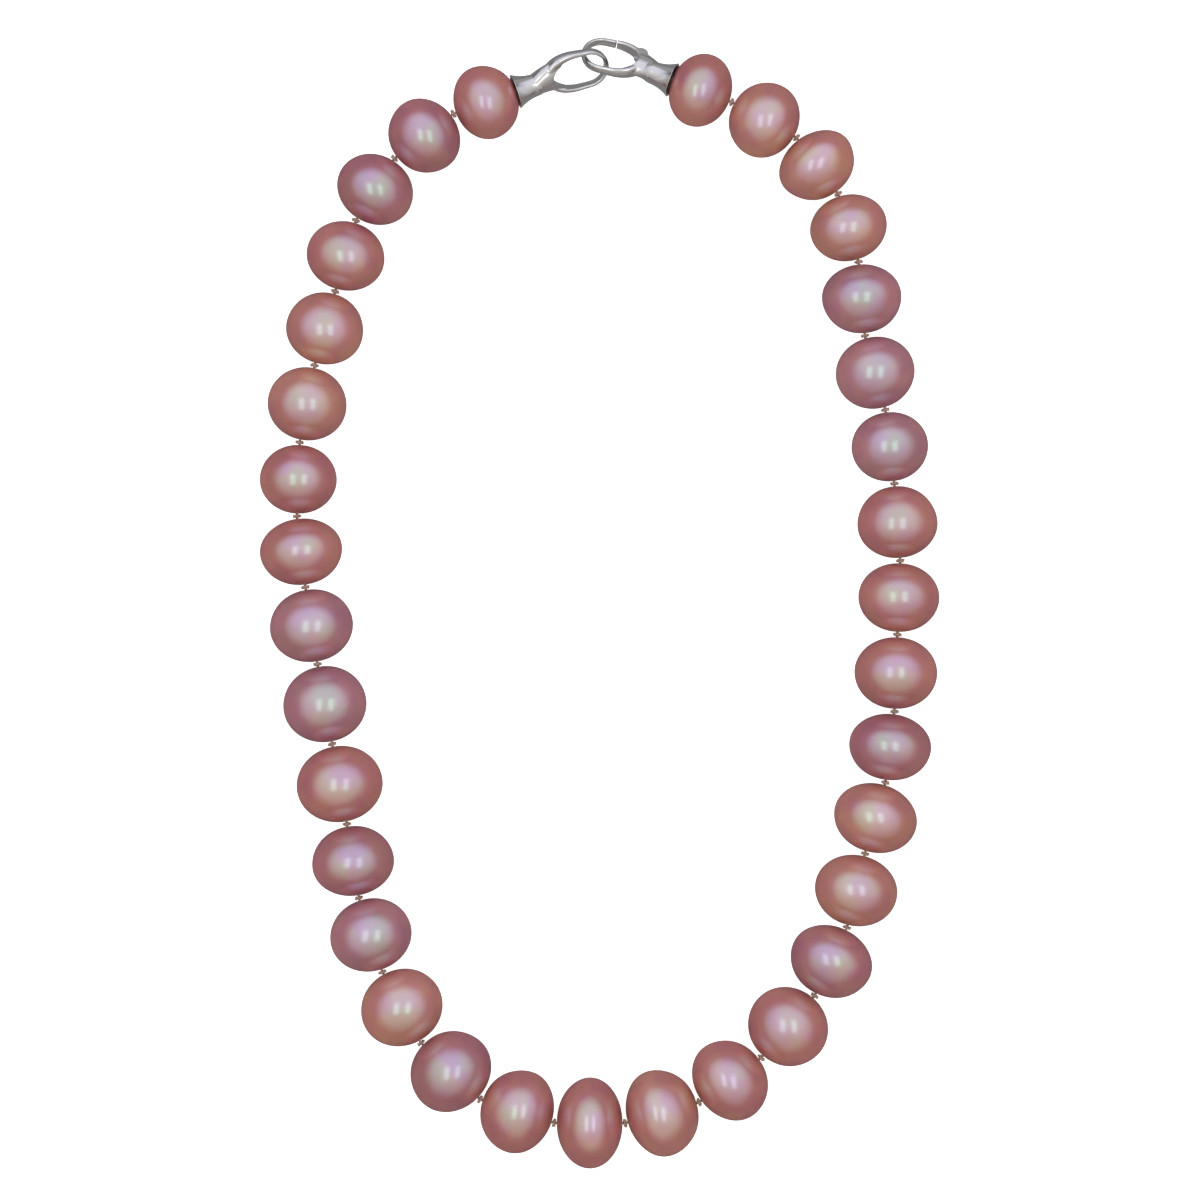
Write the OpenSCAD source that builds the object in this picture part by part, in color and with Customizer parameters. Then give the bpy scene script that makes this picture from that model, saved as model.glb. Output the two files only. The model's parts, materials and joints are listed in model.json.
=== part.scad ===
// A knotted strand of near-round pearls on silk, closed by a silver clasp:
// a plain loop on one side and a hook with a sprung gate on the other.
// It lies flat: the clasp is at +Y, +Z is up, and the lowest pearl touches z = 0.

/* [Strand] */
// Space that each knot keeps between two pearls
knot_gap = 0.9; // [0.8:0.05:1.2]
// Radius of a tied knot
knot_r = 0.56; // [0.45:0.01:0.58]
// Radius of the silk thread
thread_r = 0.28; // [0.2:0.01:0.34]
// Radius of the hole drilled through every pearl
bore_r = 0.4; // [0.38:0.01:0.5]
// Factor on every pearl's diameter across its hole
pearl_scale = 1; // [0.96:0.01:1]

/* [Clasp cups] */
// Outer radius of a cup at its rim
rim_r = 3.0; // [2.8:0.05:3.1]
// Radius of a cup's narrow neck
neck_r = 1.85; // [1.8:0.05:2.0]
// Length of a cup from its rim to its neck
cup_len = 3.8; // [3.6:0.1:4.2]
// How far the rim reaches back past the end knot, towards the end pearl
rim_back = 0.6; // [0.5:0.05:0.65]
// Radius of the bar that the silk is tied round inside a cup
bar_r = 0.3; // [0.25:0.01:0.32]

/* [Clasp rings] */
// Radius of the rings' round ends, to the middle of the band
ring_r = 3.18; // [3.1:0.02:3.2]
// Width of the band, seen from above the ring
band_w = 0.9; // [0.8:0.05:1.0]
// Height of the band, square to the ring
band_t = 1.6; // [1.4:0.1:1.6]
// Overall length of the plain ring
loop_len = 10.9; // [10.7:0.1:11]
// Overall length of the hook's ring
hook_len = 10.6; // [10.4:0.1:10.7]

/* [Gate] */
// Radius of the gate's hinge pin
pin_r = 0.3; // [0.25:0.01:0.3]
// Running clearance of the pin in the gate
pin_clear = 0.04; // [0.03:0.01:0.06]
// Thickness of the gate's tongue between the two cheeks
tongue_t = 0.9; // [0.8:0.05:1.0]
// Gap on each side of the tongue, and at the seam with the hook's nose
gate_gap = 0.06; // [0.05:0.01:0.08]

/* [Hidden] */
$fn = 72;

// Where the silk's knots lie, from the loop's cup, round the front, to the hook's cup
route = [
    [-13.5, 86.5], [-24.5, 82.5], [-34.5, 75], [-41, 64.5], [-44.5, 52.5], [-48, 40], [-50.5, 27],
    [-51, 14.5], [-49.5, 2.5], [-47.5, -10.5], [-45, -24], [-42.5, -37.5], [-40.5, -50], [-36.5, -62.5],
    [-30, -74.5], [-20, -84], [-7.5, -88], [4.5, -88], [17, -84.5], [27.5, -77], [36.5, -66.5],
    [42, -55], [45, -42.5], [48.5, -30.5], [50, -18.5], [50.5, -5.5], [51, 7], [50, 20],
    [48.5, 32.5], [45, 45], [44, 57.5], [40.5, 69], [33.5, 78.5], [22.5, 84.5], [12, 88.5]];
// The stringing chart: each pearl's diameter across its hole, in stringing order
chart = [
    12.6, 13, 13.3, 13.3, 13.1, 13.4, 13, 13.9, 14.1, 14.1, 14.6, 13.9, 13.9, 14.1, 14.3, 14.2, 15.4,
    14.8, 14.2, 13.9, 14.1, 14, 14.2, 13.9, 14, 13.7, 13.5, 13, 13.4, 13.4, 13.1, 13.4, 13, 12.6];
pearls = len(chart);
// Puts the middle of the whole necklace at x = 0 and y = 0
centre_shift = [-0.17, -0.12];

function pearl_r(i) = pearl_scale * chart[i - 1] / 2;

// A knot hangs at the mean height of its two pearls' middles; the clasp pulls the last ones askew
loop_knot_h = 6.0;
hook_knot_h = 5.8;
end_rise = 0.45;
function knot_h(i) =
    i == 0 ? loop_knot_h :
    i == pearls ? hook_knot_h :
    (pearl_r(i) + pearl_r(i + 1)) / 2 + (i == 1 || i == pearls - 1 ? end_rise : 0);
// The strand is lifted until no pearl is below z = 0
lift = max([for (i = [1:pearls]) pearl_r(i) - (knot_h(i - 1) + knot_h(i)) / 2]);
function knot(i) = [
    route[i][0] + centre_shift[0],
    route[i][1] + centre_shift[1],
    knot_h(i) + lift];

// Each half of the clasp has a frame at its end knot: x runs along the cup to the ring's end.
// Heading about z, downward pitch, and roll about the cup's own axis
loop_turn = [19, 6, 37];
hook_turn = [159, 9.5, 37];
// From the end knot to the middle of each ring, and the turn of the ring in its own plane
loop_reach = 10.6;
loop_twist = -4.5;
hook_reach = 10.5;
hook_twist = 11;

// Inside a cup: mouth radius, cavity radius, and the depths of the cone and the cavity
mouth_r = 2.72;
cavity_r = 1.25;
cone_depth = 1.0;
cavity_depth = 2.7;
bar_depth = 1.6;
bar_len = 3.7;
// The neck runs on into a rounded crown that carries the ring
crown_depth = 4.9;

// The gate's hinge, as an angle round the ring's inner end, and its seam's distance from the hinge
hinge_angle = 22;
seam_r = 4.9;
shoulder_r = 1.15;
shoulder_h = 2.2;
foot_r = 0.8;
heel_len = 1.5;
heel_w = 0.6;
heel_turn = 111;
pocket_len = 1.9;
leaf_t = 0.16;
leaf_gap = 0.04;

function straight(ring_len) = (ring_len - 2 * ring_r - band_w) / 2;
hinge = [-straight(hook_len) - ring_r * cos(hinge_angle), -ring_r * sin(hinge_angle)];

function pearl_name(i) = str("pearl_", i < 10 ? "0" : "", i);

// Turns +z to point along v
module aim(v) rotate([0, acos(v[2] / norm(v)), atan2(v[1], v[0])]) children();

// A solid of revolution about x
module turned() rotate([0, 90, 0]) rotate_extrude() children();

module at_knot(i, turn) translate(knot(i)) rotate([0, turn[1], turn[0]]) rotate([turn[2], 0, 0]) children();
module loop_frame() at_knot(0, loop_turn) children();
module hook_frame() at_knot(pearls, hook_turn) children();
module loop_ring_frame() loop_frame() translate([loop_reach, 0, 0]) rotate(loop_twist) children();
module hook_ring_frame() hook_frame() translate([hook_reach, 0, 0]) rotate(hook_twist) children();

// An oblate pearl, drilled along the line from one knot to the next
module pearl(i) {
    chord = knot(i) - knot(i - 1);
    along = norm(chord) - knot_gap;
    color("rosybrown")
    translate((knot(i - 1) + knot(i)) / 2)
    aim(chord)
    rotate_extrude()
    intersection() {
        scale([pearl_r(i), along / 2]) circle(1);
        translate([bore_r, -along]) square([2 * pearl_r(i), 2 * along]);
    }
}

// A stretch of the thread's path: places, each with the thread's radius there
knot_half = 0.5;
function unit(v) = v / norm(v);
function tied(i) = let(
    back = unit(knot(i) - knot(max(i - 1, 0))),
    on = unit(knot(min(i + 1, pearls)) - knot(i)))
    [[knot(i) - knot_half * (i == 0 ? on : back), thread_r],
     [knot(i), knot_r],
     [knot(i) + knot_half * (i == pearls ? back : on), thread_r]];

// From a cup's own frame to the necklace's
function turn_x(p, a) = [p[0], p[1] * cos(a) - p[2] * sin(a), p[1] * sin(a) + p[2] * cos(a)];
function turn_y(p, a) = [p[0] * cos(a) + p[2] * sin(a), p[1], p[2] * cos(a) - p[0] * sin(a)];
function turn_z(p, a) = [p[0] * cos(a) - p[1] * sin(a), p[0] * sin(a) + p[1] * cos(a), p[2]];
function from_cup(p, i, turn) = knot(i) + turn_z(turn_y(turn_x(p, turn[2]), turn[1]), turn[0]);

// Inside a cup the thread passes under its bar, round it and back over it
wrap_r = bar_r + thread_r + 0.05;
lead = 0.75;
function wrapped(i, turn) = [
    for (p = concat(
        [[lead, -thread_r - 0.02, -wrap_r]],
        [for (a = [-90:30:90]) [
            bar_depth + wrap_r * cos(a), (thread_r + 0.02) * a / 90, wrap_r * sin(a)]],
        [[lead, thread_r + 0.02, wrap_r]]))
    [from_cup(p, i, turn), thread_r]];

function turned_round(list) = [for (k = [len(list) - 1:-1:0]) list[k]];
thread_path = concat(
    turned_round(wrapped(0, loop_turn)),
    [for (i = [0:pearls]) each tied(i)],
    wrapped(pearls, hook_turn));

// A tube along the path; each ring's first corner is carried on from the ring before it
sides = 8;
function way(path, k) = unit(path[min(k + 1, len(path) - 1)][0] - path[max(k - 1, 0)][0]);
function carried(v, t) = unit(v - (v * t) * t);
function corners(path, k, first) =
    k == len(path) ? [] :
    let(t = way(path, k), u = carried(first, t), v = cross(t, u))
    concat(
        [for (j = [0:sides - 1]) path[k][0] + path[k][1] * (u * cos(360 * j / sides) + v * sin(360 * j / sides))],
        corners(path, k + 1, u));

module tube(path) {
    rings = len(path);
    polyhedron(
        corners(path, 0, [0.3, -0.2, 1]),
        concat(
            [[for (j = [0:sides - 1]) j]],
            [[for (j = [sides - 1:-1:0]) (rings - 1) * sides + j]],
            [for (k = [0:rings - 2], j = [0:sides - 1]) each [
                [k * sides + j, (k + 1) * sides + j, (k + 1) * sides + (j + 1) % sides],
                [k * sides + j, (k + 1) * sides + (j + 1) % sides, k * sides + (j + 1) % sides]]]));
}

// One silk thread through every pearl, knotted on both sides of each and tied off in the cups
module silk_thread() color("bisque") tube(thread_path);

// A flared cup, its neck and the round crown, about x with the end knot at x = 0
module cup() {
    steps = 10;
    difference() {
        union() {
            turned() polygon(concat(
                [[0, -rim_back]],
                [for (k = [0:steps]) [
                    neck_r + (rim_r - neck_r) * pow(1 - k / steps, 2.2),
                    -rim_back + cup_len * k / steps]],
                [[neck_r, crown_depth], [0, crown_depth]]));
            translate([crown_depth, 0, 0]) sphere(neck_r);
        }
        turned() polygon([
            [0, -rim_back - 1], [mouth_r, -rim_back - 1], [mouth_r, -rim_back],
            [cavity_r, cone_depth], [cavity_r, cavity_depth], [0, cavity_depth]]);
        translate([bar_depth, 0, 0]) anchor_bar();
    }
}

module anchor_bar() rotate([90, 0, 0]) cylinder(h = bar_len, r = bar_r, center = true);

// The outline of a round-ended oval; grow moves it off the middle of the band
module oval(ring_len, grow) {
    for (side = [-1, 1]) translate([side * straight(ring_len), 0]) circle(ring_r + grow);
    square([2 * straight(ring_len), 2 * (ring_r + grow)], center = true);
}

module band(ring_len) {
    linear_extrude(band_t, center = true)
    difference() {
        oval(ring_len, band_w / 2);
        oval(ring_len, -band_w / 2);
    }
}

module clasp_loop() {
    color("silver") {
        loop_frame() cup();
        loop_ring_frame() band(loop_len);
    }
}

// Everything within reach of the gate's hinge, on the gate's side of the ring
module gate_zone(r) {
    intersection() {
        translate([hinge[0], hinge[1], 0]) cylinder(h = 4, r = r, center = true);
        translate([-6, -6, -2]) cube([12, 5.4, 4]);
    }
}

// The slot between the two cheeks, with the pocket for the gate's heel and its leaf spring
module gate_slot() {
    slot_h = tongue_t + 2 * gate_gap;
    translate([hinge[0], hinge[1], -slot_h / 2]) {
        cylinder(h = slot_h, r = foot_r + gate_gap);
        translate([-0.2, -2.2, 0]) cube([2, 2.4, slot_h]);
        rotate(heel_turn) translate([0, -heel_w / 2 - gate_gap, 0]) cube([pocket_len, 1.4, slot_h]);
    }
}

// The hook: its cup, the fixed part of the ring, and the two cheeks that hold the gate
module clasp_hook() {
    color("silver")
    difference() {
        union() {
            hook_frame() cup();
            hook_ring_frame() difference() {
                band(hook_len);
                gate_zone(seam_r + gate_gap);
            }
            hook_ring_frame()
            translate([hinge[0], hinge[1], 0]) cylinder(h = shoulder_h, r = shoulder_r, center = true);
        }
        hook_ring_frame() gate_slot();
        hook_ring_frame() translate([hinge[0], hinge[1], 0])
        cylinder(h = shoulder_h + 1, r = pin_r, center = true);
    }
}

// The swinging gate: foot with its heel, tongue, and the arm that closes the ring
module clasp_gate() {
    color("silver")
    hook_ring_frame()
    difference() {
        union() {
            translate([hinge[0], hinge[1], 0]) {
                cylinder(h = tongue_t, r = foot_r, center = true);
                rotate(heel_turn) translate([0, -heel_w / 2, -tongue_t / 2]) cube([heel_len, heel_w, tongue_t]);
            }
            intersection() {
                band(hook_len);
                gate_zone(seam_r - gate_gap);
                translate([-6, -6, -tongue_t / 2]) cube([12, 6, tongue_t]);
            }
            intersection() {
                band(hook_len);
                difference() {
                    gate_zone(seam_r - gate_gap);
                    translate([hinge[0], hinge[1], 0])
                    cylinder(h = 5, r = shoulder_r + 0.2, center = true);
                }
            }
        }
        translate([hinge[0], hinge[1], 0])
        cylinder(h = 3, r = pin_r + pin_clear, center = true);
    }
}

module gate_pin() {
    color("gainsboro")
    hook_ring_frame()
    translate([hinge[0], hinge[1], 0])
    cylinder(h = shoulder_h, r = pin_r, center = true);
}

// A flat leaf in the pocket, held at its far end and pressing on the gate's heel
module gate_spring() {
    color("gray")
    hook_ring_frame()
    translate([hinge[0], hinge[1], -tongue_t / 2])
    rotate(heel_turn)
    translate([foot_r + 0.1, heel_w / 2 + leaf_gap, 0])
    cube([pocket_len - foot_r - 0.1, leaf_t, tongue_t]);
}

for (i = [1:pearls]) pearl(i);
silk_thread();
clasp_loop();
color("silver") loop_frame() translate([bar_depth, 0, 0]) anchor_bar();  // loop_anchor_bar
clasp_hook();
color("silver") hook_frame() translate([bar_depth, 0, 0]) anchor_bar();  // hook_anchor_bar
clasp_gate();
gate_pin();
gate_spring();
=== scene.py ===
"""A knotted strand of rose nacre pearls with a linked silver clasp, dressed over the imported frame.

Everything is in metres in the part's own frame: it lies on z = 0 with the clasp at +Y.
"""
import json
import math

import bmesh
import bpy
import numpy as np
from mathutils import Matrix, Vector

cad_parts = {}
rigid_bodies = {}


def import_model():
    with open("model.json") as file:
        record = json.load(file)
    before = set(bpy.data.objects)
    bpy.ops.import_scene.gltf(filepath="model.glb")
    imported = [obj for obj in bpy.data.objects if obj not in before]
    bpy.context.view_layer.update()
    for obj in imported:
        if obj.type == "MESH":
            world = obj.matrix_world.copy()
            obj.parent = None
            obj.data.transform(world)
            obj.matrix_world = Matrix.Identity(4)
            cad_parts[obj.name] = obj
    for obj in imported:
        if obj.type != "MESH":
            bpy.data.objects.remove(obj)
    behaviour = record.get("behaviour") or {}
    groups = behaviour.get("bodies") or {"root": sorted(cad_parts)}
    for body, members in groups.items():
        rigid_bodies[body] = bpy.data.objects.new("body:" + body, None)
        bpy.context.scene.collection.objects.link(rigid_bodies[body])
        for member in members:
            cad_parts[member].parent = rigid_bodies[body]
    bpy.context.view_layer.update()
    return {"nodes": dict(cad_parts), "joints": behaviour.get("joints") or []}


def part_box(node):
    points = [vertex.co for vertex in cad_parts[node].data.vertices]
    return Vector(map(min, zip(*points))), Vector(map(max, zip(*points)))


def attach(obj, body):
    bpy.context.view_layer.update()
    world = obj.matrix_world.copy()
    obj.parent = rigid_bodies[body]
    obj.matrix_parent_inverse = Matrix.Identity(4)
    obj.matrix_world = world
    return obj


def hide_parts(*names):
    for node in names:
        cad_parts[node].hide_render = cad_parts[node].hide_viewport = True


MM = 0.001
SAME_SPOT = 0.0002 * MM
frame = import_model()


# ---------------------------------------------------------------- small tools
def linear(hex_colour):
    """An sRGB hex colour as a linear RGBA tuple."""
    parts = [int(hex_colour[k:k + 2], 16) / 255 for k in (1, 3, 5)]
    lit = [c / 12.92 if c <= 0.04045 else ((c + 0.055) / 1.055) ** 2.4 for c in parts]
    return (*lit, 1.0)


def add(tree, kind, inputs=None, **settings):
    """Adds a node; a socket given as an input is linked, and any other value is set."""
    node = tree.nodes.new(kind)
    for name, value in settings.items():
        setattr(node, name, value)
    for key, value in (inputs or {}).items():
        if isinstance(value, bpy.types.NodeSocket):
            tree.links.new(value, node.inputs[key])
        else:
            node.inputs[key].default_value = value
    return node


def mesh_object(name, mesh, material=None):
    obj = bpy.data.objects.new(name, mesh)
    bpy.context.scene.collection.objects.link(obj)
    if material is not None:
        mesh.materials.clear()
        mesh.materials.append(material)
    return obj


def smooth(mesh):
    mesh.polygons.foreach_set("use_smooth", [True] * len(mesh.polygons))


def settle(mesh):
    """Merges doubles and points every face outwards."""
    bm = bmesh.new()
    bm.from_mesh(mesh)
    bmesh.ops.remove_doubles(bm, verts=bm.verts, dist=SAME_SPOT)
    bmesh.ops.recalc_face_normals(bm, faces=bm.faces)
    bm.to_mesh(mesh)
    bm.free()
    smooth(mesh)


def evaluated(obj):
    """The plain mesh that an object's modifiers make; the object itself is cleared away."""
    graph = bpy.context.evaluated_depsgraph_get()
    mesh = bpy.data.meshes.new_from_object(obj.evaluated_get(graph), depsgraph=graph)
    bpy.data.objects.remove(obj)
    return mesh


def grown(obj, tree, settings):
    """Runs a Geometry Nodes tree on an object and returns the plain mesh it makes."""
    modifier = obj.modifiers.new("grow", "NODES")
    modifier.node_group = tree
    for item in tree.interface.items_tree:
        if item.in_out == "INPUT" and item.name in settings:
            modifier[item.identifier] = settings[item.name]
    return evaluated(obj)


def open_tree(name, sockets):
    """A Geometry Nodes tree with named inputs; returns it with its group input and output."""
    tree = bpy.data.node_groups.new(name, "GeometryNodeTree")
    tree.interface.new_socket("Geometry", in_out="INPUT", socket_type="NodeSocketGeometry")
    for label, kind in sockets:
        tree.interface.new_socket(label, in_out="INPUT", socket_type=kind)
    tree.interface.new_socket("Geometry", in_out="OUTPUT", socket_type="NodeSocketGeometry")
    return tree, add(tree, "NodeGroupInput").outputs, add(tree, "NodeGroupOutput")


def calc(tree, operation, *values):
    return add(tree, "ShaderNodeMath", dict(enumerate(values)), operation=operation).outputs[0]


# ---------------------------------------------------------------- materials
def open_material(name):
    material = bpy.data.materials.new(name)
    material.use_nodes = True
    tree = material.node_tree
    tree.nodes.clear()
    return material, tree


def close_material(tree, shader):
    add(tree, "ShaderNodeOutputMaterial", {"Surface": shader.outputs[0]})


def noise(tree, place, per_mm, detail=2.0, roughness=0.5):
    """Soft noise with features about 1 / per_mm millimetres across."""
    return add(tree, "ShaderNodeTexNoise", {
        "Vector": place, "Scale": per_mm / MM, "Detail": detail, "Roughness": roughness}).outputs["Fac"]


CLOUD_SHARE = 0.1


def nacre(name, body_hex, deep_hex, cloud_hex):
    """Natural nacre: stacked aragonite platelets over a translucent body. They give a soft broad
    glow under a clear sharp lustre, with clouds of a cooler overtone that drift across each pearl."""
    material, tree = open_material(name)
    place = add(tree, "ShaderNodeTexCoord").outputs["Object"]
    # Overtone clouds 6 to 8 mm across
    clouds = add(tree, "ShaderNodeMapRange", {
        "Value": noise(tree, place, 0.14, 1.5), "From Min": 0.35, "From Max": 0.65}).outputs[0]
    body = add(tree, "ShaderNodeMix", {
        0: clouds, 6: linear(body_hex), 7: linear(deep_hex)}, data_type="RGBA")
    tinted = add(tree, "ShaderNodeMix", {
        0: CLOUD_SHARE, 6: body.outputs[2], 7: linear(cloud_hex)}, data_type="RGBA")
    ripple = noise(tree, place, 0.5, 1.0)
    skin = add(tree, "ShaderNodeBump", {
        "Height": ripple, "Strength": 0.12, "Distance": 0.25 * MM}).outputs["Normal"]
    # The reflected overtone is the complement of the body's rose, and drifts from green to violet
    orient = add(tree, "ShaderNodeMapRange", {
        "Value": noise(tree, place, 0.23, 1.0), "From Min": 0.36, "From Max": 0.64}).outputs[0]
    overtone = add(tree, "ShaderNodeMix", {
        0: orient, 6: linear("#9cf4e2"), 7: linear("#b4dcff")}, data_type="RGBA")
    shader = add(tree, "ShaderNodeBsdfPrincipled", {
        "Base Color": tinted.outputs[2], "Roughness": 0.29, "IOR": 2.4, "Normal": skin,
        "Specular IOR Level": 0.9, "Specular Tint": overtone.outputs[2],
        "Coat Weight": 0.8, "Coat Roughness": 0.12, "Coat IOR": 1.53})
    close_material(tree, shader)
    return material


def silk_material():
    """Two-ply bead silk, dyed peach, with a fine fibre bump. Its colour holds painted shade and painted
    sheen: darker where the bump is low, in the grooves of the twist, and lighter on the raised filaments.
    """
    material, tree = open_material("bead_silk_peach")
    place = add(tree, "ShaderNodeTexCoord").outputs["Object"]
    fibre_height_shade_and_sheen = noise(tree, place, 9.0, 3.0, 0.7)
    # Painted shade and painted sheen: the peach darkens where the fibre bump is low and lightens where it is
    # high
    colour = add(tree, "ShaderNodeMix", {
        0: fibre_height_shade_and_sheen, 6: linear("#a5826e"), 7: linear("#d9bba6")}, data_type="RGBA")
    lay = add(tree, "ShaderNodeBump", {
        "Height": fibre_height_shade_and_sheen, "Strength": 0.5, "Distance": 0.04 * MM}).outputs["Normal"]
    shader = add(tree, "ShaderNodeBsdfPrincipled", {
        "Base Color": colour.outputs[2], "Roughness": 0.62, "Normal": lay,
        "Sheen Weight": 0.4, "Sheen Roughness": 0.35, "Sheen Tint": linear("#fff0e0")})
    close_material(tree, shader)
    return material


def metal_material(name, hex_colour, rough_low, rough_high, dent):
    """Metal with a buffed or drawn skin: a soft mirror with faint swirls and a little unevenness."""
    material, tree = open_material(name)
    place = add(tree, "ShaderNodeTexCoord").outputs["Object"]
    rough = add(tree, "ShaderNodeMapRange", {
        "Value": noise(tree, place, 0.7, 4.0, 0.6), "From Min": 0.3, "From Max": 0.7,
        "To Min": rough_low, "To Max": rough_high}).outputs[0]
    skin = add(tree, "ShaderNodeBump", {
        "Height": noise(tree, place, 2.2, 2.0), "Strength": dent, "Distance": 0.05 * MM}).outputs["Normal"]
    shader = add(tree, "ShaderNodeBsdfPrincipled", {
        "Base Color": linear(hex_colour), "Metallic": 1.0, "Roughness": rough, "Normal": skin})
    close_material(tree, shader)
    return material


TONES = {
    "rose": nacre("nacre_rose", "#c96e5e", "#bb5e56", "#ba8e98"),
    "mauve": nacre("nacre_mauve", "#bf6862", "#b05a5c", "#b28aa2"),
    "peach": nacre("nacre_peach", "#ce7860", "#c0685a", "#c29892"),
    "lavender": nacre("nacre_lavender", "#c2706e", "#b2626a", "#b092ac"),
}
SILK = silk_material()
SILVER = metal_material("silver_rhodium_polished", "#c4c4c3", 0.15, 0.23, 0.05)
STEEL = metal_material("spring_steel_drawn", "#a3a3a4", 0.22, 0.34, 0.1)


# ---------------------------------------------------------------- where things are
def knots_in_order():
    """The knots' places, from the joints between each body and the next along the strand."""
    order = ["loop_half"] + [f"pearl_{i:02d}" for i in range(1, 35)] + ["hook_half"]
    at = {frozenset((j["parent"], j["child"])): Vector(j["pos_m"]) for j in frame["joints"]}
    return [at[frozenset(pair)] for pair in zip(order, order[1:])]


KNOTS = knots_in_order()
PEARLS = len(KNOTS) - 1
KNOT_GAP = 0.9 * MM
BORE_R = 0.4 * MM


def frame_along(start, end, middle):
    """A frame at middle with x from start to end, and z as near up as it can be."""
    x = (end - start).normalized()
    y = Vector((0, 0, 1)).cross(x).normalized()
    z = x.cross(y)
    turn = Matrix((x, y, z)).transposed().to_4x4()
    return Matrix.Translation(middle) @ turn


# ---------------------------------------------------------------- pearls
AROUND = 96
PROFILE = 72
# The share of a profile's points that lie on the skin; the rest line the bore
OUTER_SHARE = 0.9
# Per metre, so the lumps are about 9 mm across
LUMP_SCALE = 110.0
FULLNESS = 0.97
PLAIN_EGG = 0.015


def pearl_tree():
    """A drilled pearl about x: a closed ring of profiles, over the skin and back through the bore."""
    tree, given, out = open_tree("strung_pearl", [
        ("Across", "NodeSocketFloat"), ("Along", "NodeSocketFloat"), ("Bore", "NodeSocketFloat"),
        ("Egg", "NodeSocketFloat"), ("Fullness", "NodeSocketFloat"), ("Lumps", "NodeSocketFloat"),
        ("Seed", "NodeSocketFloat"), ("Nacre", "NodeSocketMaterial")])
    grid = add(tree, "GeometryNodeMeshGrid", {
        "Size X": 1.0, "Size Y": 1.0, "Vertices X": AROUND + 1, "Vertices Y": PROFILE + 1})
    place = add(tree, "ShaderNodeSeparateXYZ", {0: add(tree, "GeometryNodeInputPosition").outputs[0]})
    turn = calc(tree, "MULTIPLY", calc(tree, "ADD", place.outputs[0], 0.5), 2 * math.pi)
    share = calc(tree, "ADD", place.outputs[1], 0.5)
    skin = calc(tree, "MINIMUM", calc(tree, "DIVIDE", share, OUTER_SHARE), 1.0)
    inside = calc(tree, "MAXIMUM", calc(tree, "DIVIDE", calc(
        tree, "SUBTRACT", share, OUTER_SHARE), 1 - OUTER_SHARE), 0.0)
    mouth = calc(tree, "ARCSINE", calc(tree, "DIVIDE", given["Bore"], given["Across"]))
    span = calc(tree, "SUBTRACT", math.pi, calc(tree, "MULTIPLY", mouth, 2.0))
    polar = calc(tree, "ADD", mouth, calc(tree, "MULTIPLY", span, skin))
    cosine, sine = calc(tree, "COSINE", polar), calc(tree, "SINE", polar)
    # The bore carries on from the last skin point and comes back to the first
    back = calc(tree, "SUBTRACT", 1.0, calc(tree, "MULTIPLY", inside, 2.0))
    along = calc(tree, "MULTIPLY", given["Along"], calc(tree, "MULTIPLY", cosine, back))
    swell = calc(tree, "POWER", sine, given["Fullness"])
    egg = calc(tree, "ADD", 1.0, calc(tree, "MULTIPLY", given["Egg"], calc(
        tree, "MULTIPLY", cosine, calc(tree, "MULTIPLY", sine, sine))))
    across = calc(tree, "MULTIPLY", given["Across"], calc(tree, "MULTIPLY", swell, egg))
    round_y = calc(tree, "MULTIPLY", across, calc(tree, "COSINE", turn))
    round_z = calc(tree, "MULTIPLY", across, calc(tree, "SINE", turn))
    spot = add(tree, "ShaderNodeCombineXYZ", {0: along, 1: round_y, 2: round_z}).outputs[0]
    # Slow lumps, strongest at the widest part and nothing at the bore's mouths
    lump = add(tree, "ShaderNodeTexNoise", {
        "Vector": spot, "W": given["Seed"], "Scale": LUMP_SCALE, "Detail": 1.0, "Roughness": 0.4},
        noise_dimensions="4D").outputs["Fac"]
    push = calc(tree, "MULTIPLY", calc(tree, "SUBTRACT", lump, 0.5), calc(
        tree, "MULTIPLY", given["Lumps"], calc(tree, "MULTIPLY", sine, sine)))
    pushed = add(tree, "ShaderNodeVectorMath", {
        0: spot, "Scale": calc(tree, "ADD", 1.0, push)}, operation="SCALE").outputs[0]
    shaped = add(tree, "GeometryNodeSetPosition", {"Geometry": grid.outputs["Mesh"], "Position": pushed})
    closed = add(tree, "GeometryNodeMergeByDistance", {"Geometry": shaped.outputs[0], "Distance": SAME_SPOT})
    real = add(tree, "GeometryNodeRealizeInstances", {"Geometry": closed.outputs[0]})
    done = add(tree, "GeometryNodeSetMaterial", {"Geometry": real.outputs[0], "Material": given["Nacre"]})
    tree.links.new(done.outputs[0], out.inputs[0])
    return tree


# The stringing order: each pearl's tone, and how egg-shaped and how lumpy it grew
STRUNG = ("rose mauve mauve rose peach peach rose rose lavender lavender rose mauve lavender "
          "peach mauve rose rose peach rose rose mauve peach peach mauve rose rose rose lavender "
          "lavender lavender peach peach peach rose").split()
EGG = {1: 0.05, 2: -0.05, 5: 0.04, 8: -0.04, 12: 0.05, 15: 0.05, 16: 0.06, 18: -0.09, 19: -0.05,
       21: 0.05, 24: 0.04, 27: -0.05, 30: 0.05, 32: 0.09, 33: -0.04}
LUMPY = {17: 0.05, 18: 0.06, 32: 0.12}
PLAIN_LUMPS = 0.03


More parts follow.
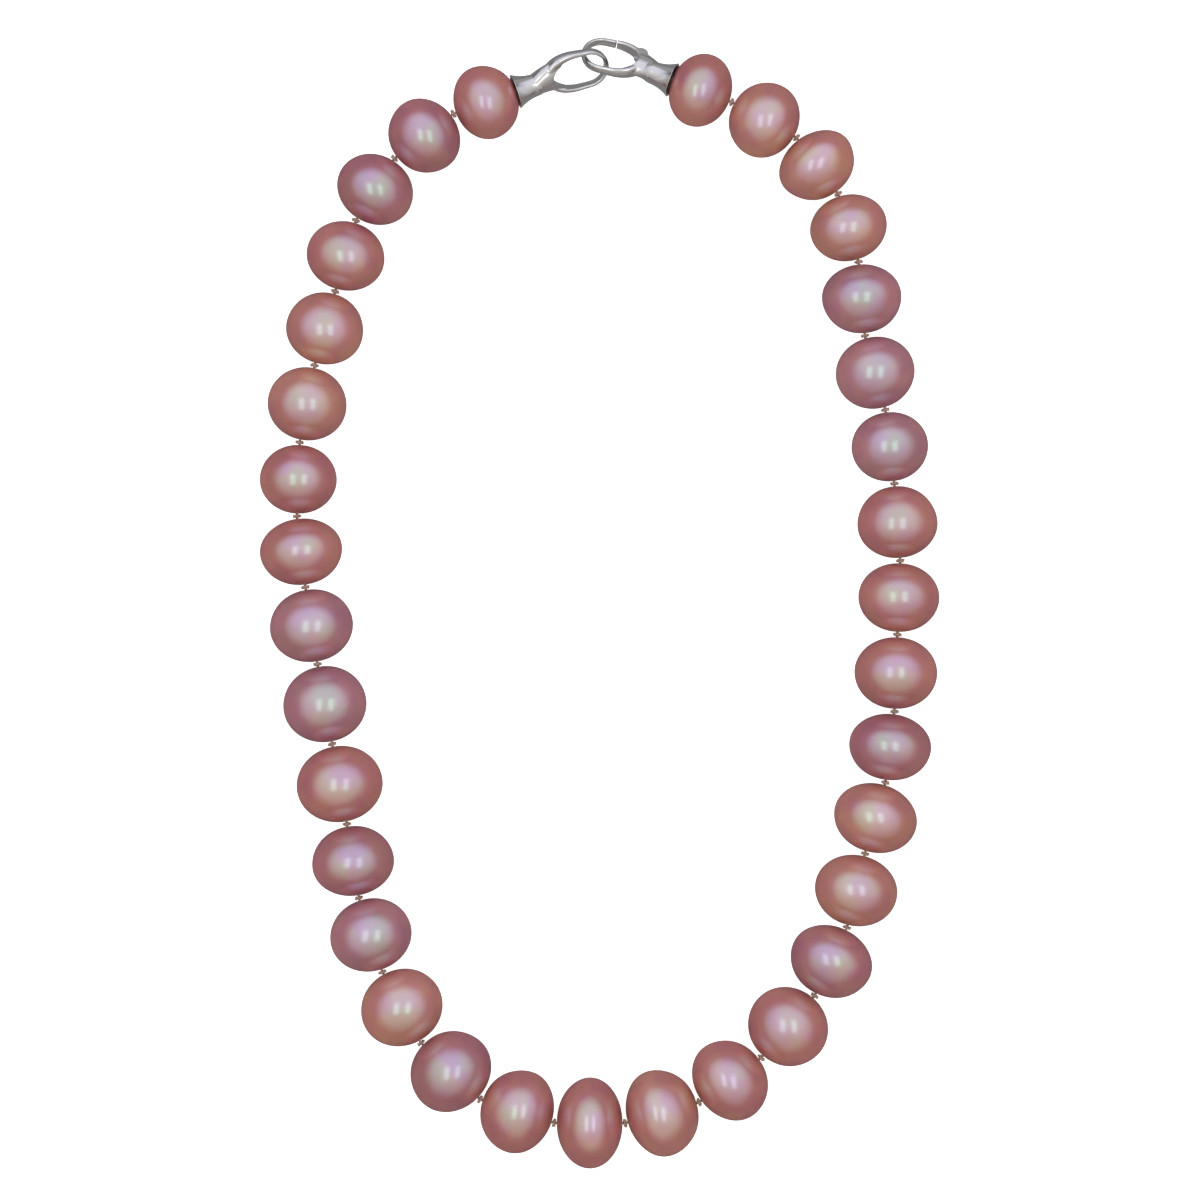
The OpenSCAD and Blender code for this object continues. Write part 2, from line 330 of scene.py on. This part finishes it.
def make_pearls():
    tree = pearl_tree()
    for i in range(1, PEARLS + 1):
        start, end = KNOTS[i - 1], KNOTS[i]
        node = f"pearl_{i:02d}"
        low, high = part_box(node)
        holder = mesh_object("holder", bpy.data.meshes.new("holder"))
        mesh = grown(holder, tree, {
            "Across": (high.z - low.z) / 2, "Along": ((end - start).length - KNOT_GAP) / 2, "Bore": BORE_R,
            "Egg": EGG.get(i, PLAIN_EGG), "Fullness": FULLNESS, "Lumps": LUMPY.get(i, PLAIN_LUMPS),
            "Seed": i * 3.7, "Nacre": TONES[STRUNG[i - 1]]})
        mesh.transform(frame_along(start, end, (start + end) / 2))
        settle(mesh)
        piece = mesh_object(f"nacre_{i:02d}", mesh)
        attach(piece, node)
        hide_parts(node)


# ---------------------------------------------------------------- silk
PLY_R = 0.2 * MM
THREAD_R = 0.25 * MM
# The length of cord that makes one full turn of the twist
TWIST_PITCH = 0.9 * MM
# The pearl at the front of the strand
FRONT = 17


def silk_tree():
    """Turns paths into twisted two-ply cord; each point's radius is the cord's radius there."""
    tree, given, out = open_tree("two_ply_cord", [
        ("Twist", "NodeSocketFloat"), ("Step", "NodeSocketFloat"), ("Silk", "NodeSocketMaterial")])
    even = add(tree, "GeometryNodeResampleCurve", {
        "Curve": given["Geometry"], "Length": given["Step"]}, mode="LENGTH")
    run = add(tree, "GeometryNodeSplineParameter").outputs["Length"]
    tilted = add(tree, "GeometryNodeSetCurveTilt", {
        "Curve": even.outputs[0], "Tilt": calc(tree, "MULTIPLY", run, given["Twist"])})
    ring = add(tree, "GeometryNodeCurvePrimitiveCircle", {"Resolution": 14, "Radius": 1.0}, mode="RADIUS")
    place = add(tree, "ShaderNodeSeparateXYZ", {0: add(tree, "GeometryNodeInputPosition").outputs[0]})
    # A waist across the circle leaves two lobes, the two plies
    waist = calc(tree, "ADD", 0.62, calc(tree, "MULTIPLY", 0.38, calc(
        tree, "MULTIPLY", place.outputs[0], place.outputs[0])))
    drawn_in = add(tree, "ShaderNodeVectorMath", {
        0: add(tree, "GeometryNodeInputPosition").outputs[0], "Scale": waist},
        operation="SCALE").outputs[0]
    lobes = add(tree, "GeometryNodeSetPosition", {"Geometry": ring.outputs[0], "Position": drawn_in})
    tube = add(tree, "GeometryNodeCurveToMesh", {
        "Curve": tilted.outputs[0], "Profile Curve": lobes.outputs[0],
        "Scale": add(tree, "GeometryNodeInputRadius").outputs[0], "Fill Caps": True})
    real = add(tree, "GeometryNodeRealizeInstances", {"Geometry": tube.outputs[0]})
    done = add(tree, "GeometryNodeSetMaterial", {"Geometry": real.outputs[0], "Material": given["Silk"]})
    tree.links.new(done.outputs[0], out.inputs[0])
    return tree


def path_object(paths):
    """One curve object with a poly spline for each path of (point, radius)."""
    curve = bpy.data.curves.new("paths", "CURVE")
    curve.dimensions = "3D"
    for points, cyclic in paths:
        spline = curve.splines.new("POLY")
        spline.points.add(len(points) - 1)
        spline.use_cyclic_u = cyclic
        for target, (spot, radius) in zip(spline.points, points):
            target.co = (*spot, 1.0)
            target.radius = radius
    obj = bpy.data.objects.new("paths", curve)
    bpy.context.scene.collection.objects.link(obj)
    return obj


def knot_path(k):
    """A tight overhand knot: the cord goes twice round the strand and crosses itself three times."""
    before, after = KNOTS[max(k - 1, 0)], KNOTS[min(k + 1, PEARLS)]
    place = frame_along(before, after, KNOTS[k])
    lean = 0.9 * k
    steps = 60
    points = []
    for step in range(steps):
        t = 2 * math.pi * step / steps
        reach = (0.45 + 0.18 * math.cos(3 * t)) * MM
        spin = 2 * t + lean
        spot = Vector((0.14 * MM * math.sin(3 * t), reach * math.cos(spin), reach * math.sin(spin)))
        points.append((place @ spot, PLY_R))
    return points, True


def thread_path(i):
    """The straight run through pearl i, from knot to knot."""
    start, end = KNOTS[i - 1], KNOTS[i]
    return [(start.lerp(end, s / 12), THREAD_R) for s in range(13)], False


def make_silk():
    tree = silk_tree()
    settings = {"Twist": 2 * math.pi / TWIST_PITCH, "Step": 0.07 * MM, "Silk": SILK}
    for i in range(1, PEARLS + 1):
        # Each knot goes with the pearl nearer the front of the strand
        mine = [i - 1] if i < FRONT else [FRONT - 1, FRONT] if i == FRONT else [i]
        paths = [thread_path(i)] + [knot_path(k) for k in mine]
        mesh = grown(path_object(paths), tree, settings)
        settle(mesh)
        piece = mesh_object(f"silk_{i:02d}", mesh)
        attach(piece, f"pearl_{i:02d}")
        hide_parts("silk_thread")
    for body, cup in (("loop_half", LOOP_CUP), ("hook_half", HOOK_CUP)):
        # Inside the cup the silk goes round the bar and back
        bar, wrap = 1.6, 0.62
        points = [(-0.2, 0, -0.25), (0.3, 0.1, -0.42), (0.75, -0.28, -wrap)]
        points += [(bar + wrap * math.cos(math.radians(a)), 0.3 * a / 90, wrap * math.sin(math.radians(a)))
                   for a in range(-90, 91, 15)]
        points += [(0.75, 0.28, wrap), (0.3, -0.1, 0.42), (-0.2, 0, 0.25)]
        tie = [(cup @ (Vector(p) * MM), THREAD_R) for p in points]
        mesh = grown(path_object([(tie, False)]), tree, settings)
        settle(mesh)
        piece = mesh_object(f"silk_tie_{body[:4]}", mesh)
        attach(piece, body)
        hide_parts("silk_thread")


# ---------------------------------------------------------------- clasp
def turned_frame(knot, heading, pitch, roll):
    """A frame at a knot, turned by three angles in degrees; its x runs from the cup to the ring."""
    turn = (Matrix.Rotation(math.radians(heading), 4, "Z") @ Matrix.Rotation(math.radians(pitch), 4, "Y")
            @ Matrix.Rotation(math.radians(roll), 4, "X"))
    return Matrix.Translation(knot) @ turn


def ring_frame(reach, twist):
    """The frame at a ring's middle, in its cup's frame and in millimetres."""
    return Matrix.Translation((reach, 0, 0)) @ Matrix.Rotation(math.radians(twist), 4, "Z")


# Each half: its cup at its knot, turned as it lies, then the ring's reach, twist and length.
# All the clasp's own sizes are in millimetres.
LOOP_CUP = turned_frame(KNOTS[0], 19, 6, 37)
HOOK_CUP = turned_frame(KNOTS[PEARLS], 159, 9.5, 37)
LOOP_REACH, LOOP_TWIST, LOOP_LEN = 10.6, -4.5, 10.9
HOOK_REACH, HOOK_TWIST, HOOK_LEN = 10.5, 11, 10.6
LOOP_RING = ring_frame(LOOP_REACH, LOOP_TWIST)
HOOK_RING = ring_frame(HOOK_REACH, HOOK_TWIST)
RING_R = 3.18
BAND_W = 0.86
BAND_T = 1.6
GROOVE = 0.17
GATE_GROOVE = 0.15
SECTION = 40
# The gate's hinge, in the hook ring's frame
HINGE = Vector((-4.61844, -1.19125, 0))


ROUND_SHARE = 1.2


def ring_spot(ring_len, t):
    """A place on the middle of the band: round past the tip, drawn in to a point at the cup's end."""
    reach = (ring_len - BAND_W) / 2
    straight = reach - RING_R
    if math.cos(t) < 0:
        return Vector((reach * math.cos(t), RING_R * math.sin(t), 0))
    # On the tip's side the run goes along the straight first, and then round the end
    side = math.copysign(RING_R, math.sin(t))
    run = math.cos(t) * (1 + ROUND_SHARE)
    if run <= 1:
        return Vector((straight * run, side, 0))
    angle = (run - 1) / ROUND_SHARE * math.pi / 2
    return Vector((straight + RING_R * math.sin(angle), side * math.cos(angle), 0))


def ring_path(ring_len, t_from, t_to, steps):
    """Evenly spaced pairs of place and outward direction along the ring."""
    count = 900
    fine = [ring_spot(ring_len, t_from + (t_to - t_from) * k / count) for k in range(count + 1)]
    run = np.concatenate([[0], np.cumsum([(b - a).length for a, b in zip(fine, fine[1:])])])
    places = []
    for want in np.linspace(0, run[-1], steps):
        k = max(1, min(int(np.searchsorted(run, want)), count))
        share = (want - run[k - 1]) / max(run[k] - run[k - 1], 1e-12)
        places.append(fine[k - 1].lerp(fine[k], float(share)))
    pairs = []
    sign = 1 if t_to > t_from else -1
    for k, place in enumerate(places):
        along = (places[min(k + 1, steps - 1)] - places[max(k - 1, 0)]).normalized()
        pairs.append((place, Vector((along.y, -along.x, 0)) * sign))
    return pairs


def whole_ring(ring_len, steps):
    """The ring's pairs all the way round, open by a hair at the tip so that none is repeated."""
    hair = 0.0001
    return ring_path(ring_len, hair, 2 * math.pi - hair, steps + 1)[:-1]


SWELL_FROM = 2.5
SLIM = 0.25
CROWN_RISE = 1.1


def arm_size(place, ring_len, stout):
    """The arm's width and height, which grow from x = SWELL_FROM back to the crown.
    The +y arm widens by stout, and the other one by SLIM."""
    reach = (ring_len - BAND_W) / 2
    back = max(0.0, min(1.0, (SWELL_FROM - place.x) / (reach + SWELL_FROM)))
    swell = back * back * (3 - 2 * back)
    growth = stout if place.y > 0 else SLIM
    return BAND_W + growth * swell, BAND_T + CROWN_RISE * back ** 1.8


def arm_section(width, height, groove):
    """Outer wall softly convex, inner wall hollowed between two rails; (outward, up) pairs."""
    points = []
    for k in range(SECTION):
        a = 2 * math.pi * k / SECTION
        c, s = math.cos(a), math.sin(a)
        out = width / 2 * math.copysign(abs(c) ** 0.75, c)
        up = height / 2 * math.copysign(abs(s) ** 0.8, s)
        if c < 0:
            out += groove * max(0.0, 1 - (up / (0.36 * height)) ** 4)
        points.append((out, up))
    return points


def loft(rings, capped):
    """A bmesh skin over rings of points, with its ends filled."""
    bm = bmesh.new()
    rows = [[bm.verts.new(p) for p in ring] for ring in rings]
    count = len(rows[0])
    pairs = list(zip(rows, rows[1:])) + ([] if capped else [(rows[-1], rows[0])])
    for a, b in pairs:
        for k in range(count):
            bm.faces.new((a[k], a[(k + 1) % count], b[(k + 1) % count], b[k]))
    if capped:
        bm.faces.new(list(reversed(rows[0])))
        bm.faces.new(rows[-1])
    bmesh.ops.recalc_face_normals(bm, faces=bm.faces)
    return bm


def arm_rings(path, ring_len, groove, stout):
    """The band's sections along the path; all the extra width is outside, so the eye keeps its size."""
    rings = []
    for place, outward in path:
        width, height = arm_size(place, ring_len, stout)
        middle = place + outward * ((width - BAND_W) / 2)
        section = arm_section(width, height, groove)
        rings.append([middle + outward * o + Vector((0, 0, u)) for o, u in section])
    return rings


def eye_rings(ring_len):
    """An upright prism as wide as the ring's eye, to open the fork with."""
    depth = 4.0
    edge = [place - outward * (BAND_W / 2) for place, outward in whole_ring(ring_len, 120)]
    return [[p + Vector((0, 0, z)) for p in edge] for z in (-depth, depth)]


NECK_R = 1.92
CUP_TOP, CUP_LEN = 4.6, 5.2
FLARE = 1.1
TUCK = 0.45


def cup_rings():
    """The flared bell about x: from the neck out to the rim, then in to the cavity's floor."""
    steps, count = 24, 96
    outside = []
    for k in range(steps + 1):
        s = k / steps
        # The neck's end tucks in under the crown
        tuck = TUCK * max(0.0, 1 - s / 0.28) ** 1.5
        radius = NECK_R + FLARE * max(0.0, (s - 0.2) / 0.8) ** 2.3 - tuck
        outside.append((CUP_TOP - CUP_LEN * s, radius))
    cavity = [(-0.6, 2.8), (-0.45, 2.68), (0.0, 2.3), (1.0, 1.3), (2.7, 1.25), (2.7, 0.01)]
    profile = [(CUP_TOP, 0.01)] + outside + cavity
    turns = [2 * math.pi * k / count for k in range(count)]
    return [[Vector((x, r * math.cos(a), r * math.sin(a))) for a in turns] for x, r in profile]


CROWN_FROM, CROWN_RUN = 2.6, 5.6
CROWN_R = 1.88
CROWN_FALL = 0.55


def crown_rings(reach, twist, plus_side, minus_side):
    """The body from the bell's neck to the fork: it widens into both arms and leans to the ring."""
    steps, count = 18, 64
    rings = []
    for k in range(steps + 1):
        s = k / steps
        x = CROWN_FROM + CROWN_RUN * s
        lean = -(reach - x) * math.sin(math.radians(twist)) * min(1.0, s * 1.8)
        tall = CROWN_R - CROWN_FALL * s
        close = 0.85 if k == steps else 1.0
        ring = []
        for j in range(count):
            a = 2 * math.pi * j / count
            growth = plus_side * s ** 0.85 if math.cos(a) > 0 else minus_side * s ** 1.2
            wide = CROWN_R + growth
            ring.append(Vector((x, lean + close * wide * math.cos(a), close * tall * math.sin(a))))
        rings.append(ring)
    return rings


def joined(parts):
    """Several bmeshes as one mesh."""
    whole = bmesh.new()
    for bm in parts:
        mesh = bpy.data.meshes.new("part")
        bm.to_mesh(mesh)
        bm.free()
        whole.from_mesh(mesh)
        bpy.data.meshes.remove(mesh)
    mesh = bpy.data.meshes.new("joined")
    whole.to_mesh(mesh)
    whole.free()
    return mesh


def cast(mesh, voxel, rounds):
    """Melts overlapping parts into one skin and rounds where they meet, as in a cast piece."""
    obj = mesh_object("casting", mesh)
    remesh = obj.modifiers.new("melt", "REMESH")
    remesh.mode, remesh.voxel_size = "VOXEL", voxel
    ease = obj.modifiers.new("ease", "SMOOTH")
    ease.factor, ease.iterations = 0.5, rounds
    result = evaluated(obj)
    smooth(result)
    return result


def blended(mesh):
    """Polishes the creases out past the bell's neck, and leaves the bell's lip crisp."""
    obj = mesh_object("blended", mesh)
    group = obj.vertex_groups.new(name="fork")
    for v in mesh.vertices:
        share = min(1.0, max(0.0, v.co.x - BLEND_FROM))
        if share > 0:
            group.add([v.index], share, "REPLACE")
    ease = obj.modifiers.new("ease", "SMOOTH")
    ease.factor, ease.iterations, ease.vertex_group = 0.5, BLEND_ROUNDS, "fork"
    result = evaluated(obj)
    smooth(result)
    return result


def cut(mesh, bm, place):
    """Takes a solid, put in place, out of the mesh."""
    obj, knife = mesh_object("blank", mesh), mesh_object("knife", joined([placed(bm, place)]))
    saw = obj.modifiers.new("saw", "BOOLEAN")
    saw.operation, saw.object, saw.solver = "DIFFERENCE", knife, "EXACT"
    result = evaluated(obj)
    bpy.data.objects.remove(knife)
    return result


def tube_rings(centre, radius, height, count=48):
    """Two rings of an upright cylinder."""
    turns = [2 * math.pi * k / count for k in range(count)]
    return [[centre + Vector((radius * math.cos(a), radius * math.sin(a), z)) for a in turns]
            for z in (-height / 2, height / 2)]


def bar_between(middle, toward, size):
    """A flat bar about a middle, with its length turned that way in the ring's plane."""
    bm = bmesh.new()
    bmesh.ops.create_cube(bm, size=1.0)
    turn = Matrix.Rotation(math.atan2(toward.y, toward.x), 4, "Z")
    return placed(bm, Matrix.Translation(middle) @ turn @ Matrix.Diagonal((*size, 1)))


def placed(bm, matrix):
    bmesh.ops.transform(bm, matrix=matrix, verts=bm.verts)
    return bm


def shed(mesh, place, name, body, node):
    """Scales from millimetres, puts the piece in place and hands it to its body."""
    mesh.transform(place @ Matrix.Scale(MM, 4))
    piece = mesh_object(name, mesh, SILVER)
    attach(piece, body)
    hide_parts(node)


LOOP_STOUT, HOOK_STOUT = 0.8, 0.35
VOXEL, GATE_VOXEL = 0.07, 0.05
EASE_ROUNDS, GATE_EASE_ROUNDS = 3, 4
BLEND_FROM, BLEND_ROUNDS = 2.4, 22


def forked(parts, ring_len, ring):
    """One casting of the parts, with the ring's eye opened in it and its creases polished."""
    mesh = cast(joined(parts), VOXEL, 0)
    mesh = cut(mesh, loft(eye_rings(ring_len), True), ring)
    return blended(cast(mesh, VOXEL, EASE_ROUNDS))


def make_loop_half():
    arms = loft(arm_rings(whole_ring(LOOP_LEN, 180), LOOP_LEN, GROOVE, LOOP_STOUT), False)
    crown = loft(crown_rings(LOOP_REACH, LOOP_TWIST, 1.5, 1.0), True)
    parts = [loft(cup_rings(), True), crown, placed(arms, LOOP_RING)]
    shed(forked(parts, LOOP_LEN, LOOP_RING), LOOP_CUP, "loop_casting", "loop_half", "clasp_loop")


def seam_t(distance):
    """The ring parameter on the gate's side at that distance from the hinge."""
    count = 2000
    turns = [-math.pi + k / count * math.pi for k in range(count)]
    return min(turns, key=lambda t: abs((ring_spot(HOOK_LEN, t) - HINGE).length - distance))


# Distances from the hinge: the hook's nose, the bay's ends, and the gate's ends
NOSE_AT = 4.97
BAY_FROM, BAY_TO = 1.24, 4.9
GATE_FROM, GATE_TO = 1.28, 4.83
CHEEK_R, CHEEK_SPAN = 1.25, 2.8
SLOT_R, SLOT_SPAN = 0.86, 1.02
TONGUE_R, TONGUE_SPAN = 0.8, 0.9


def make_hook_half():
    nose_to_crown = ring_path(HOOK_LEN, seam_t(NOSE_AT), math.pi + 0.12, 150)
    arms = loft(arm_rings(nose_to_crown, HOOK_LEN, GROOVE, HOOK_STOUT), True)
    knuckle = loft(tube_rings(HINGE, CHEEK_R, CHEEK_SPAN), True)
    crown = loft(crown_rings(HOOK_REACH, HOOK_TWIST, 1.3, 0.9), True)
    parts = [loft(cup_rings(), True), crown, placed(arms, HOOK_RING), placed(knuckle, HOOK_RING)]
    mesh = forked(parts, HOOK_LEN, HOOK_RING)
    # Room for the gate's bar, so the crown ends in a radial seam
    corners = ((-0.8, -1.7), (1.1, -1.7), (1.1, 1.7), (-0.8, 1.7))
    bay = [[place + outward * o + Vector((0, 0, z)) for o, z in corners]
           for place, outward in ring_path(HOOK_LEN, seam_t(BAY_FROM), seam_t(BAY_TO), 40)]
    mesh = cut(mesh, loft(bay, True), HOOK_RING)
    gate_path = ring_path(HOOK_LEN, seam_t(GATE_FROM), seam_t(GATE_TO), 60)
    toward = gate_path[0][0] - HINGE
    root = HINGE + toward * 0.6
    # The slot for the gate's tongue, between the two cheeks
    mesh = cut(mesh, loft(tube_rings(HINGE, SLOT_R, SLOT_SPAN), True), HOOK_RING)
    mesh = cut(mesh, bar_between(root, toward, (1.7, 1.2, SLOT_SPAN)), HOOK_RING)
    smooth(mesh)
    shed(mesh, HOOK_CUP, "hook_casting", "hook_half", "clasp_hook")

    arm = loft(arm_rings(gate_path, HOOK_LEN, GATE_GROOVE, HOOK_STOUT), True)
    tongue = loft(tube_rings(HINGE, TONGUE_R, TONGUE_SPAN), True)
    link = bar_between(root, toward, (1.4, 0.7, 0.86))
    gate = cast(joined([arm, tongue, link]), GATE_VOXEL, GATE_EASE_ROUNDS)
    place = HOOK_CUP @ Matrix.Scale(MM, 4) @ HOOK_RING @ Matrix.Scale(1 / MM, 4)
    shed(gate, place, "gate_casting", "gate", "clasp_gate")


def dress_nodes():
    """The small hidden pieces keep their own shapes and get their own metals."""
    metals = {"loop_anchor_bar": SILVER, "hook_anchor_bar": SILVER, "gate_pin": STEEL, "gate_spring": STEEL}
    for node, material in metals.items():
        obj = frame["nodes"][node]
        if not obj.material_slots:
            obj.data.materials.append(material)
        for slot in obj.material_slots:
            slot.material = material


# ---------------------------------------------------------------- studio
def softbox(name, azimuth, tilt, distance, size, watts, colour):
    """A rectangular light seen from the strand at that tilt from straight up, turned to face it."""
    light = bpy.data.lights.new(name, "AREA")
    light.shape, light.size, light.size_y = "RECTANGLE", *size
    light.energy, light.color = watts, linear(colour)[:3]
    obj = bpy.data.objects.new(name, light)
    a, t = math.radians(azimuth), math.radians(tilt)
    spot = Vector((math.sin(a) * math.sin(t), math.cos(a) * math.sin(t), math.cos(t))) * distance
    obj.location = spot
    up = Vector((0, 0, 1)) if tilt > 40 else Vector((0, 1, 0))
    back = spot.normalized()
    side = up.cross(back).normalized()
    obj.rotation_euler = Matrix((side, back.cross(side), back)).transposed().to_euler()
    bpy.context.scene.collection.objects.link(obj)
    return obj


def make_table():
    """A white acrylic light table. It glows, so shadows stay faint, and glossy rays pass it by."""
    half, drop = 3.0, -0.00002
    corners = [(-half, -half, drop), (half, -half, drop), (half, half, drop), (-half, half, drop)]
    mesh = bpy.data.meshes.new("table")
    mesh.from_pydata(corners, [], [(0, 1, 2, 3)])
    acrylic, tree = open_material("white_acrylic_table")
    close_material(tree, add(tree, "ShaderNodeBsdfPrincipled", {
        "Base Color": linear("#f4f4f4"), "Roughness": 0.7,
        "Emission Color": linear("#ffffff"), "Emission Strength": 0.8}))
    table_top = mesh_object("table_top", mesh, acrylic)
    table_top.visible_glossy = False


def make_strips():
    """Twin strips either side of the lens make the paired highlights."""
    for side in (-1, 1):
        softbox(f"strip_{side}", 90 * side, 16.5, 1.0, (0.25, 0.66), 0.85, "#fffaf6")


def make_cards():
    """White cards round the clasp alone, so its flanks mirror card and not the dark of the room."""
    silver_only = bpy.data.collections.new("lit_by_cards")
    for obj in bpy.data.objects:
        if obj.name.endswith("_casting"):
            silver_only.objects.link(obj)
    cards = [softbox(f"card_{a}", a, 78, 1.0, (1.6, 0.75), 1.3, "#ffffff") for a in (0, 90, 180, 270)]
    under = softbox("card_under", 0, 0, 1.0, (0.3, 0.3), 0.07, "#ffffff")
    under.rotation_euler = (math.pi, 0, 0)
    under.location = (0, 0.09, 0.0001)
    for card in cards + [under]:
        card.light_linking.receiver_collection = silver_only
        card.visible_camera = False


def make_dome():
    """A silk dome overhead: bright round the lens, brighter and cooler towards the clasp's end,
    and dark from the horizon down."""
    world = bpy.data.worlds.new("silk_dome")
    world.use_nodes = True
    tree = world.node_tree
    way = add(tree, "ShaderNodeSeparateXYZ", {0: add(tree, "ShaderNodeTexCoord").outputs["Generated"]})
    height = add(tree, "ShaderNodeMapRange", {
        "Value": way.outputs[2], "From Min": 0.05, "From Max": 0.75},
        interpolation_type="SMOOTHSTEP").outputs[0]
    north = add(tree, "ShaderNodeMapRange", {
        "Value": way.outputs[1], "From Min": -0.7, "From Max": 0.7}).outputs[0]
    hue = add(tree, "ShaderNodeMix", {
        0: north, 6: linear("#fff8f0"), 7: linear("#eeeeff")}, data_type="RGBA")
    glow = calc(tree, "MULTIPLY", height, calc(tree, "ADD", 0.62, calc(tree, "MULTIPLY", north, 0.78)))
    background = tree.nodes["Background"]
    tree.links.new(hue.outputs[2], background.inputs["Color"])
    tree.links.new(calc(tree, "ADD", 0.08, glow), background.inputs["Strength"])
    bpy.context.scene.world = world


def make_camera():
    """A long lens straight above, framed in width at the strand's middle height."""
    camera = bpy.data.cameras.new("camera")
    camera.lens, camera.sensor_width = 200.0, 36.0
    view_width, middle_height = 202.8 * MM, 7 * MM
    distance = view_width / 2 / (camera.sensor_width / 2 / camera.lens)
    obj = bpy.data.objects.new("camera", camera)
    obj.location = (0.08 * MM, 0.22 * MM, distance + middle_height)
    bpy.context.scene.collection.objects.link(obj)
    bpy.context.scene.camera = obj
    bpy.context.scene.view_settings.view_transform = "Standard"


make_pearls()
make_silk()
make_loop_half()
make_hook_half()
dress_nodes()
make_table()
make_strips()
make_cards()
make_dome()
make_camera()
